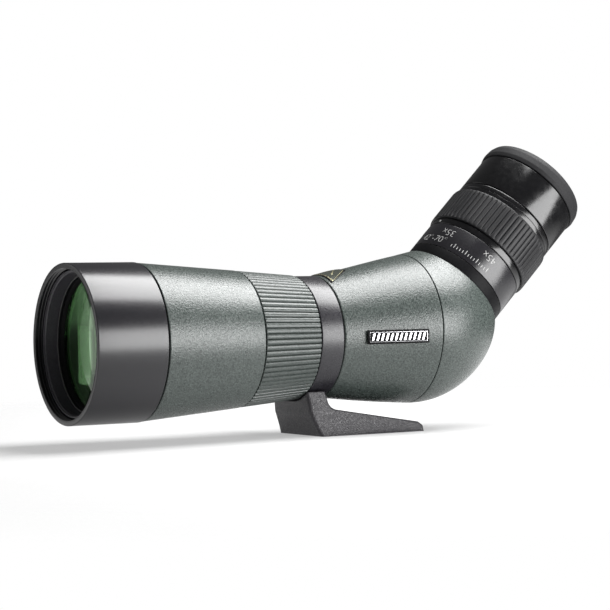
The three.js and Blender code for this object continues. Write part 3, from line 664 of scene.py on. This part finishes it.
def thread_insert():
    low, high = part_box("thread_insert")
    upright = Axis(((low.x + high.x) / 2, 0, 0), (0, 0, 1))
    span = Span("thread_insert", upright)
    turns, pitch, root, crisp = 7, 1.27 * MM, span.inner + 0.55 * MM, 0.05 * MM
    start = low.z + 0.8 * MM
    outline = [(low.z, span.outer, 0.2 * MM), (high.z, span.outer, 0.2 * MM), (high.z, span.inner, 0)]
    for k in reversed(range(turns)):
        outline += [(start + (k + 0.5) * pitch, root, crisp), (start + k * pitch, span.inner, crisp)]
    outline.append((low.z, span.inner + 0.6 * MM, crisp))
    threaded = turned("threaded_insert", upright, outline, BRASS, "tripod_mount", sides=72)
    stands_for(threaded, "brass", "thread_insert")


# ------------------------------------------------------------------ housing and rear cover
def loop_of_rings(name, rings, material, body):
    """Closed shell through rings with equal point counts; the last ring meets the first."""
    return new_piece(name, joined(rings), loft_faces(len(rings), len(rings[0]), closed=True), material, body)


def oval(centre, half_height, half_width, inset=0.0):
    """Ellipse through the ends of its half height, with its half width along Y."""
    sides = 224
    tall = half_height.length - inset
    up = half_height.normalized()
    return [centre + up * tall * math.cos(a) - Vector((0, half_width - inset, 0)) * math.sin(a)
            for a in (2 * math.pi * i / sides for i in range(sides))]


def edge_insets(radius):
    """(distance from the end, inset) pairs that round an edge over, from the end inwards."""
    steps = 4
    quarter = [math.pi / 2 * k / steps for k in range(steps + 1)]
    return [(radius * (1 - math.sin(a)), radius * (1 - math.cos(a))) for a in quarter][::-1]


class HousingSkin:
    """The housing's outer skin: a cubic run through the sections its CAD node has."""

    SECTION_POINTS, SECTION_REACH = 30, 31 * MM   # the least that a section of the outer skin has

    def __init__(self):
        points = np.array([v.co for v in frame["nodes"]["prism_housing"].data.vertices])
        self.first, self.last = float(points[:, 0].min()), float(points[:, 0].max())
        stations, tops, bottoms, widths = [], [], [], []
        for x in sorted({round(float(x), 4) for x in points[:, 0]}):
            here = points[abs(points[:, 0] - x) < 0.05 * MM]
            top, bottom = here[:, 2].max() - BARREL.origin.z, BARREL.origin.z - here[:, 2].min()
            if len(here) >= self.SECTION_POINTS and min(top, bottom) > self.SECTION_REACH:
                stations.append(x)
                tops.append(top)
                bottoms.append(bottom)
                widths.append(abs(here[:, 1]).max())
        self.fits = [np.polyfit(stations, reach, 3) for reach in (tops, bottoms, widths)]

    def reaches(self, x):
        return [float(np.polyval(fit, x)) for fit in self.fits]

    def ring(self, x, inset=0.0):
        top, bottom, width = self.reaches(x)
        centre = Vector((x, 0, BARREL.origin.z + (top - bottom) / 2))
        return oval(centre, Vector((0, 0, (top + bottom) / 2)), width, inset)

    def point(self, x, degrees, lift):
        """On the skin, at an angle from the top towards -Y."""
        top, bottom, width = self.reaches(x)
        angle = math.radians(degrees)
        middle = BARREL.origin.z + (top - bottom) / 2
        return Vector((x, -(width + lift) * math.sin(angle),
                       middle + ((top + bottom) / 2 + lift) * math.cos(angle)))


SKIN = HousingSkin()
SEAM_REACH = 0.4 * MM   # how far each edge runs into the 1.2 mm joint between housing and cover
SEAM_EDGE = 0.35 * MM   # how far each edge is rounded over there
WALL = 3 * MM


def housing():
    front, rear = SKIN.first, SKIN.last + SEAM_REACH
    rings = [SKIN.ring(front + run, inset) for run, inset in edge_insets(0.7 * MM)]
    steps = 36
    rings += [SKIN.ring(front + (rear - front) * k / steps) for k in range(1, steps)]
    rings += [SKIN.ring(rear - run, inset) for run, inset in edge_insets(SEAM_EDGE)[::-1]]
    rings += [SKIN.ring(x, WALL) for x in (rear, front + 4 * MM, front)]
    shell = loop_of_rings("housing_shell", rings, GREEN, "scope_body")
    stands_for(shell, "green_paint", "prism_housing")


class CoverSkin:
    """The cover's outer skin, from the upright seam (share 0) to the sloping eyepiece face (share 1)."""

    FACE_STATION, FACE_RADIUS = 33.3 * MM, 31.3 * MM
    SEAM_TOP, SEAM_BOTTOM = 43.6 * MM, 37.6 * MM
    SEAM_HANDLE, FACE_HANDLE = Vector((25, 0, -2.4)) * MM, Vector((-2.6, 0, -20.9)) * MM   # of the lower edge
    WIDTHS = (42 * MM, 42.4 * MM, 38 * MM, FACE_RADIUS)

    def __init__(self):
        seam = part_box("rear_cover")[0].x - SEAM_REACH
        centre = EYEPIECE.point(self.FACE_STATION, 0, 0)
        face_top = centre + EYEPIECE.up * self.FACE_RADIUS
        face_bottom = centre - EYEPIECE.up * self.FACE_RADIUS
        seam_bottom = Vector((seam, 0, BARREL.origin.z - self.SEAM_BOTTOM))
        self.top = (Vector((seam, 0, BARREL.origin.z + self.SEAM_TOP)), face_top)
        self.bottom = (seam_bottom, seam_bottom + self.SEAM_HANDLE,
                       face_bottom + self.FACE_HANDLE, face_bottom)

    @staticmethod
    def bezier(points, t):
        a, b, c, d = points
        return a * (1 - t) ** 3 + b * 3 * t * (1 - t) ** 2 + c * 3 * t * t * (1 - t) + d * t ** 3

    def ring(self, t, inset=0.0):
        top = self.top[0].lerp(self.top[1], t)
        bottom = self.bezier(self.bottom, t)
        return oval((top + bottom) / 2, (top - bottom) / 2, self.bezier(self.WIDTHS, t), inset)


COVER = CoverSkin()


def rear_cover():
    length = 40 * MM   # of the skin, midway down its side
    rings = [COVER.ring(run / length, inset) for run, inset in edge_insets(SEAM_EDGE)]
    steps = 56
    rings += [COVER.ring(k / steps) for k in range(1, steps)]
    rings += [COVER.ring(1 - run / length, inset) for run, inset in edge_insets(1.1 * MM)[::-1]]
    mount = Span("eyepiece_mount_ring", EYEPIECE)
    spigot, spigot_end = mount.outer_at(mount.first) + GAP, 26 * MM
    rings += [oval(EYEPIECE.point(station, 0, 0), EYEPIECE.up * spigot, spigot)
              for station in (COVER.FACE_STATION, spigot_end)]
    rings += [COVER.ring(t, WALL) for t in (0.5, 0.25, 0)]
    shell = loop_of_rings("cover_shell", rings, GREEN, "scope_body")
    stands_for(shell, "green_paint", "rear_cover")


# ------------------------------------------------------------------ plates
PLATE_ANGLE = 30   # degrees; a plate's edges that turn more than this stay sharp


def plate(name, rows, material):
    """Solid through rows of points, on the scope's body."""
    return new_piece(name, joined(rows), loft_faces(len(rows), len(rows[0])), material, "scope_body",
                     PLATE_ANGLE)


def skin_patch(name, front, rear, half_angles, low, high, material):
    """Closed slab that follows the housing's skin; its half angle runs from the front to the rear value."""
    rows, columns = 24, 20
    rings = []
    for k in range(rows + 1):
        x = front + (rear - front) * k / rows
        reach = half_angles[0] + (half_angles[1] - half_angles[0]) * k / rows
        angles = [reach * (2 * m / columns - 1) for m in range(columns + 1)]
        rings.append([SKIN.point(x, a, high) for a in angles] + [SKIN.point(x, a, low) for a in angles[::-1]])
    return plate(name, rings, material)


def index_plate():
    """Dark tapered plate on top of the housing: black edge, thin pale line, grey-green field, chevron."""
    low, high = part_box("index_plate")
    front, rear = low.x, high.x
    half_angles = (30, 12)
    layers = [("index_plate_edge", 0, 0.05 * MM, 0.5 * MM, GLOSS, "silver_plate", ("index_plate",)),
              ("index_plate_line", 0.8 * MM, 0.2 * MM, 0.58 * MM, GOLD, "silver_plate", ()),
              ("index_plate_field", 1.15 * MM, 0.3 * MM, 0.66 * MM, PLATE, "gloss_black", ())]
    for name, inset, bottom, top, material, finish, nodes in layers:
        inset_angles = [a - math.degrees(inset / SKIN.reaches(front)[2]) for a in half_angles]
        layer = skin_patch(name, front + inset, rear - inset, inset_angles, bottom, top, material)
        stands_for(layer, finish, *nodes)

    tip, arm, half_stroke, half_angle, steps = rear - 3.2 * MM, 6 * MM, 0.4 * MM, 14, 8
    bottom, top = 0.5 * MM, 0.85 * MM
    section = ((-half_stroke, bottom), (half_stroke, bottom), (half_stroke, top), (-half_stroke, top))
    rings = [[SKIN.point(tip - arm * abs(k) / steps + along, half_angle * k / steps, lift)
              for along, lift in section] for k in range(-steps, steps + 1)]
    chevron = plate("index_chevron", rings, GOLD)
    stands_for(chevron, "silver_plate")


def rounded_plate(name, length, height, corner, low, high, bevel, place_at, material):
    """Rounded rectangle with a bevelled front edge, in the XY plane of place_at."""
    corner_steps = 6

    def outline(inset, z):
        points = []
        for quarter, (x, y) in enumerate(((1, 1), (-1, 1), (-1, -1), (1, -1))):
            for k in range(corner_steps + 1):
                angle = math.radians(90 * (quarter + k / corner_steps))
                points.append(place_at @ Vector((
                    x * (length / 2 - corner) + (corner - inset) * math.cos(angle),
                    y * (height / 2 - corner) + (corner - inset) * math.sin(angle), z)))
        return points

    layers = [outline(0, low), outline(0, high - bevel), outline(bevel * 0.3, high - bevel * 0.3),
              outline(bevel, high)]
    return plate(name, layers, material)


BADGE_TURN = -0.176   # radians about Z, to lie along the housing's flank


def badge():
    """Plain badge: a bright rounded border round a dark field with slanted raised bars."""
    low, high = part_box("badge_plate")
    length, height, thickness = 35 * MM, 7.3 * MM, 0.9 * MM
    line_inset, field_inset = 2.1 * MM, 2.5 * MM   # both sides together
    outward = Vector((math.sin(BADGE_TURN), -math.cos(BADGE_TURN), 0))
    lengthwise = Vector((math.cos(BADGE_TURN), math.sin(BADGE_TURN), 0))
    centre = (low + high) / 2 - outward * thickness / 2
    seat = Matrix.Translation(centre) @ Matrix((lengthwise, Vector((0, 0, 1)), outward)).transposed().to_4x4()
    border = rounded_plate("badge_border", length, height, 0.5 * MM, 0, thickness, 0.2 * MM, seat, MATT)
    stands_for(border, "silver_plate", "badge_plate")
    line = rounded_plate("badge_line", length - line_inset, height - line_inset, 0.3 * MM, 0.3 * MM,
                         thickness + 0.05 * MM, 0.04 * MM, seat, BRIGHT)
    stands_for(line, "silver_plate")
    field = rounded_plate("badge_field", length - field_inset, height - field_inset, 0.3 * MM, 0.3 * MM,
                          thickness + 0.1 * MM, 0.04 * MM, seat, MATT)
    stands_for(field, "gloss_black")
    bars, lean, reach = 12, 1.1 * MM, height / 2 - 1.85 * MM
    pitch = (length - 6.4 * MM) / (bars - 1)
    vertices, faces = [], []
    for k in range(bars):
        middle = pitch * (k - (bars - 1) / 2)
        add_block(vertices, faces, [
            seat @ Vector((middle + x + y * lean / 2, y * reach, z))
            for z, spread in ((thickness, 0.6 * MM), (thickness + 0.2 * MM, 0.5 * MM))
            for x, y in ((-spread, -1), (spread, -1), (spread, 1), (-spread, 1))])
    stripes = new_piece("badge_bars", vertices, faces, BRIGHT, "scope_body", PLATE_ANGLE)
    stands_for(stripes, "silver_plate")


# ------------------------------------------------------------------ eyepiece
EYE_RADIUS = Span("zoom_ring", EYEPIECE).outer
DOT_DEGREES = 90.8


def eyepiece_mount():
    span = Span("eyepiece_mount_ring", EYEPIECE)
    first, last = span.first, span.last
    face = CoverSkin.FACE_STATION + 0.05 * MM
    spigot = span.outer_at(first)
    outline = [
        (first, span.inner, 0.2 * MM), (first, spigot, 0.3 * MM), (face, spigot, 0),
        (face, EYE_RADIUS, 0.8 * MM), (last, EYE_RADIUS, 0.2 * MM), (last, span.inner, 0.2 * MM),
    ]
    mount = turned("eyepiece_mount", EYEPIECE, outline, MATT, "scope_body")
    stands_for(mount, "black_metal", "eyepiece_mount_ring")


def eyepiece_tube():
    span = Span("eyepiece_body", EYEPIECE)
    tube = Span("eyecup_guide", EYEPIECE).inner - 0.5 * MM
    scale_end = Span("zoom_ring", EYEPIECE).first - 0.35 * MM
    first, last = span.first, span.last
    outline = [
        (first, span.inner, 0.2 * MM), (first, EYE_RADIUS, 0.2 * MM), (scale_end, EYE_RADIUS, 0.3 * MM),
        (scale_end, tube, 0), (last, tube, 0.3 * MM), (last, span.inner, 0.3 * MM),
    ]
    body = turned("scale_tube", EYEPIECE, outline, SATIN, "scope_body")
    stands_for(body, "black_metal", "eyepiece_body")


def zoom_control():
    span = Span("zoom_ring", EYEPIECE)
    grip = Span("zoom_grip", EYEPIECE)
    first, last, bore = span.first, span.last, span.inner
    low, high, core = grip.first - 0.1 * MM, grip.last + 0.1 * MM, grip.inner - 0.25 * MM
    relief_bore = bore + 1.2 * MM
    travel, pin_reach = Span("zoom_drive_pin", EYEPIECE), 6.7 * MM
    outline = [
        (first, bore, 0.2 * MM), (first, EYE_RADIUS, 0.45 * MM), (low, EYE_RADIUS, 0.15 * MM), (low, core, 0),
        (high, core, 0), (high, EYE_RADIUS, 0.3 * MM), (high + 2.6 * MM, EYE_RADIUS, 0.05 * MM),
        (high + 2.8 * MM, EYE_RADIUS - 0.2 * MM, 0.05 * MM), (high + 3 * MM, EYE_RADIUS, 0.05 * MM),
        (last, EYE_RADIUS, 0.5 * MM), (last, bore, 0.2 * MM),
        (travel.last + pin_reach, bore, 0), (travel.last + pin_reach, relief_bore, 0),
        (travel.first - pin_reach, relief_bore, 0), (travel.first - pin_reach, bore, 0),
    ]
    sleeve = turned("zoom_sleeve", EYEPIECE, outline, GLOSS, "zoom_control")
    stands_for(sleeve, "gloss_black", "zoom_ring")

    grooves, steps, outer = 66, 14, grip.outer
    outline = [(grip.first, grip.inner, 0.1 * MM), (grip.first, outer - 0.25 * MM, 0.5 * MM)]
    outline += [(grip.first + (grip.last - grip.first) * k / steps, outer - 0.02 * MM, 0)
                for k in range(1, steps)]
    outline += [(grip.last, outer - 0.25 * MM, 0.5 * MM), (grip.last, grip.inner, 0.1 * MM)]
    relief = flutes(grooves, 0.55 * MM, 0.3, (grip.first + 1.1 * MM, grip.last - 1.1 * MM, 0.5 * MM),
                    beyond=grip.inner + 1 * MM)
    sleeve_grip = turned("zoom_rubber", EYEPIECE, outline, RUBBER, "zoom_control",
                         grooves * FACETS_PER_RIB, relief)
    stands_for(sleeve_grip, "black_rubber", "zoom_grip")

    outwards = EYEPIECE.point(0, 1, DOT_DEGREES) - EYEPIECE.point(0, 0, 0)
    dot_axis = Axis(EYEPIECE.point(first + 1.7 * MM, 0, 0), outwards)
    base, top, dot_radius = EYE_RADIUS - 0.3 * MM, EYE_RADIUS + 0.06 * MM, 0.75 * MM
    dot_outline = ring((base, AXIS_HOLE), (base, dot_radius), (top, dot_radius),
                       (EYE_RADIUS + 0.08 * MM, AXIS_HOLE), fillet=0.03 * MM)
    dot = turned("zoom_index_dot", dot_axis, dot_outline, MARK, "zoom_control", ROUND_TINY)
    stands_for(dot, "silver_plate")


def eyecup():
    barrel = Span("eyecup_barrel", EYEPIECE)
    first, last = barrel.first, barrel.last
    bore = Span("eyecup_guide", EYEPIECE).outer + 0.4 * MM
    lip = last - 2.6 * MM
    outline = [
        (first, bore, 0.2 * MM), (first, EYE_RADIUS, 0.5 * MM), (last, EYE_RADIUS, 0.4 * MM),
        (last, barrel.inner, 0.2 * MM), (lip, barrel.inner, 0.2 * MM), (lip, bore, 0),
    ]
    sleeve = turned("eyecup_sleeve", EYEPIECE, outline, GLOSS, "eyecup")
    stands_for(sleeve, "gloss_black", "eyecup_barrel")

    cup = Span("eyecup_rubber", EYEPIECE)
    base, rim, outer = cup.first, cup.last, cup.outer
    outline = [
        (base, cup.inner, 0.2 * MM), (base, outer - 0.5 * MM, 0.5 * MM),
        (base + 2.3 * MM, outer - 0.02 * MM, 2 * MM), (base + 6 * MM, outer - 0.4 * MM, 2.5 * MM),
        (rim - 1.4 * MM, outer - 1.4 * MM, 2 * MM), (rim, outer - 3.6 * MM, 1.8 * MM),
        (rim, outer - 6.2 * MM, 1.6 * MM), (base + 3.3 * MM, cup.inner + 0.7 * MM, 3 * MM),
    ]
    soft_cup = turned("eyecup_rubber_cup", EYEPIECE, outline, SOFT, "eyecup", corner_steps=8)
    stands_for(soft_cup, "black_rubber", "eyecup_rubber")


def eye_glass():
    lenses = (("eye_lens_glass", "eye_lens", 1.6 * MM, 0.9 * MM, "coated_glass"),
              ("inner_eye_glass", "inner_eye_lens", 0.8 * MM, 1.2 * MM, "clear_glass"))
    for name, node, lower_bulge, upper_bulge, slot in lenses:
        lens = Span(node, EYEPIECE)
        piece = lens_mesh(name, EYEPIECE, lens.outer, lens.first + lower_bulge, lens.last - upper_bulge,
                          lower_bulge, upper_bulge, EYE_COATING, "scope_body")
        stands_for(piece, slot, node)
    holder = Span("eye_lens_retainer", EYEPIECE)
    outline = [
        (holder.first, holder.outer, 0.1 * MM), (holder.first, holder.inner, 0.1 * MM),
        (holder.last, holder.inner + 0.8 * MM, 0.15 * MM), (holder.last, holder.outer, 0.15 * MM),
    ]
    retainer = turned("eye_retaining_ring", EYEPIECE, outline, INTERIOR, "scope_body", ROUND_SMALL)
    stands_for(retainer, "inner_black", "eye_lens_retainer")


DIAL_LIFT = 0.03 * MM
NUMERAL_HEIGHT, HEIGHT_OF_SIZE = 4.2 * MM, 0.7   # a numeral's height, and its share of the font size
ZOOM_STATION, RANGE_STATION, TICK_STATION = 50.6 * MM, 45 * MM, 43 * MM
FIRST_TICK, TICK_SWEEP, TICK_HALF_WIDTH = 7, 46, 0.35   # degrees


def dial_text(name, text, station, degrees, reading_from_eye=True):
    """Raised paint numerals wrapped round the scale tube."""
    curve = bpy.data.curves.new(name, "FONT")
    curve.body = text
    curve.size = NUMERAL_HEIGHT / HEIGHT_OF_SIZE
    curve.align_x = "CENTER"
    curve.resolution_u = 6
    curve.offset = -0.02 * curve.size
    curve.extrude = DIAL_LIFT
    letters = in_scene(name, curve)
    bpy.context.view_layer.update()
    mesh = evaluated_mesh(letters)
    bpy.data.objects.remove(letters)
    sign = -1 if reading_from_eye else 1
    for vertex in mesh.vertices:
        along, up, out = vertex.co
        angle = degrees - sign * math.degrees(along / EYE_RADIUS)
        height = station + sign * (up - NUMERAL_HEIGHT / 2)
        vertex.co = EYEPIECE.point(height, EYE_RADIUS + DIAL_LIFT + out, angle)
    marks = place(name, mesh, MARK, "scope_body")
    stands_for(marks, "silver_plate")


def dial():
    for text, degrees in (("15x", 172), ("25x", 119), ("35x", 66), ("45x", 13)):
        dial_text(f"zoom_{text}", text, ZOOM_STATION, degrees)
    dial_text("field_range", "42°-70°", RANGE_STATION, 79, reading_from_eye=False)
    ticks, vertices, faces = 14, [], []
    for k in range(ticks):
        degrees = FIRST_TICK + TICK_SWEEP * k / (ticks - 1)
        end = TICK_STATION + (1.7 * MM if k % 4 else 2.8 * MM)
        add_block(vertices, faces, [
            EYEPIECE.point(station, EYE_RADIUS + lift, degrees + side * TICK_HALF_WIDTH)
            for lift in (-0.05 * MM, 2 * DIAL_LIFT)
            for station, side in ((TICK_STATION, -1), (TICK_STATION, 1), (end, 1), (end, -1))])
    scale = new_piece("dial_ticks", vertices, faces, MARK, "scope_body", PLATE_ANGLE)
    stands_for(scale, "silver_plate")


# ------------------------------------------------------------------ floor, lights and camera
def studio_floor():
    """Round pale table that fades into the white backdrop at its rim."""
    fade_from, fade_to, sides = 0.28, 0.5, ROUND_SMALL
    mesh = bpy.data.meshes.new("table_top")
    mesh.from_pydata([(fade_to * math.cos(a), fade_to * math.sin(a), 0)
                      for a in (2 * math.pi * i / sides for i in range(sides))], [], [tuple(range(sides))])
    floor = in_scene("table_top", mesh)
    surface = Surface("pale_table", (0.4, 0.4, 0.4), 0.6, Emission_Strength=0.4)
    surface.set("Emission Color", (1, 1, 1, 1))
    surface.blend_colours(surface.noise(30, 3), (0.39, 0.39, 0.39), (0.41, 0.41, 0.41))
    nodes = surface.tree.nodes
    radius = nodes.new("ShaderNodeVectorMath")
    radius.operation = "LENGTH"
    surface.link(surface.coordinates, radius.inputs[0])
    fade = surface.ramp(radius.outputs["Value"], 0, 1, fade_from, fade_to)
    clear, blend = nodes.new("ShaderNodeBsdfTransparent"), nodes.new("ShaderNodeMixShader")
    surface.link(fade, blend.inputs["Fac"])
    surface.link(surface.shader.outputs["BSDF"], blend.inputs[1])
    surface.link(clear.outputs["BSDF"], blend.inputs[2])
    surface.link(blend.outputs["Shader"], nodes["Material Output"].inputs["Surface"])
    mesh.materials.append(surface.material)


def softbox(name, centre, target, size, radiance):
    """Area light of a given radiance (area light power = pi x area x radiance)."""
    light = bpy.data.lights.new(name, "AREA")
    light.shape = "RECTANGLE"
    light.size, light.size_y = size
    light.energy = math.pi * size[0] * size[1] * radiance
    lamp = in_scene(name, light)
    lamp.location = centre
    lamp.rotation_mode = "QUATERNION"
    lamp.rotation_quaternion = (Vector(target) - Vector(centre)).to_track_quat("-Z", "Y")


def studio_light():
    softbox("overhead", (0.52, -0.07, 0.85), (0.52, -0.07, 0), (0.95, 0.7), 13)
    softbox("front_right", (0.5, -0.95, 0.04), (0, 0, 0.05), (0.95, 0.75), 10.5)
    softbox("back_left", (-1.09, 1.06, 0.1), (-0.15, 0, 0.05), (0.7, 1.2), 1.15)
    softbox("back_middle", (-0.62, 1.2, 0.1), (-0.15, 0, 0.05), (0.28, 1.2), 0.06)
    world = bpy.data.worlds.new("studio")
    bpy.context.scene.world = world
    world.use_nodes = True
    nodes, links = world.node_tree.nodes, world.node_tree.links
    background = nodes["Background"]
    background.inputs["Color"].default_value = (1, 1, 1, 1)
    path = nodes.new("ShaderNodeLightPath")
    strength = nodes.new("ShaderNodeMapRange")
    strength.inputs["To Min"].default_value = 0.12
    strength.inputs["To Max"].default_value = 1.0
    links.new(path.outputs["Is Camera Ray"], strength.inputs["Value"])
    links.new(strength.outputs["Result"], background.inputs["Strength"])


CAMERA_PLACE = Vector((-578.6, -949.1, 72.2)) * MM
CAMERA_AZIMUTH, CAMERA_ELEVATION, CAMERA_ROLL = -30.13, 0.16, -1.16
CAMERA_LENS = 121.34


def camera():
    data = bpy.data.cameras.new("camera")
    data.sensor_width, data.lens = 36, CAMERA_LENS
    data.clip_start, data.clip_end = 0.05, 50
    view = in_scene("camera", data)
    azimuth, elevation, roll = (math.radians(a) for a in (CAMERA_AZIMUTH, CAMERA_ELEVATION, CAMERA_ROLL))
    back = Vector((math.sin(azimuth) * math.cos(elevation), -math.cos(azimuth) * math.cos(elevation),
                   math.sin(elevation)))
    right = Vector((0, 0, 1)).cross(back).normalized()
    up = back.cross(right)
    rolled_right = right * math.cos(roll) + up * math.sin(roll)
    rolled_up = up * math.cos(roll) - right * math.sin(roll)
    turn = Matrix((rolled_right, rolled_up, back)).transposed().to_4x4()
    view.matrix_world = Matrix.Translation(CAMERA_PLACE) @ turn
    bpy.context.scene.camera = view
    bpy.context.scene.view_settings.view_transform = "Standard"


finish_cad_nodes()
for build in (sun_hood, objective_tube, objective_glass, front_barrel, focus_ring, collar, foot,
              thread_insert, housing, rear_cover, index_plate, badge, eyepiece_mount, eyepiece_tube,
              zoom_control, eyecup, eye_glass, dial, studio_floor, studio_light, camera):
    build()
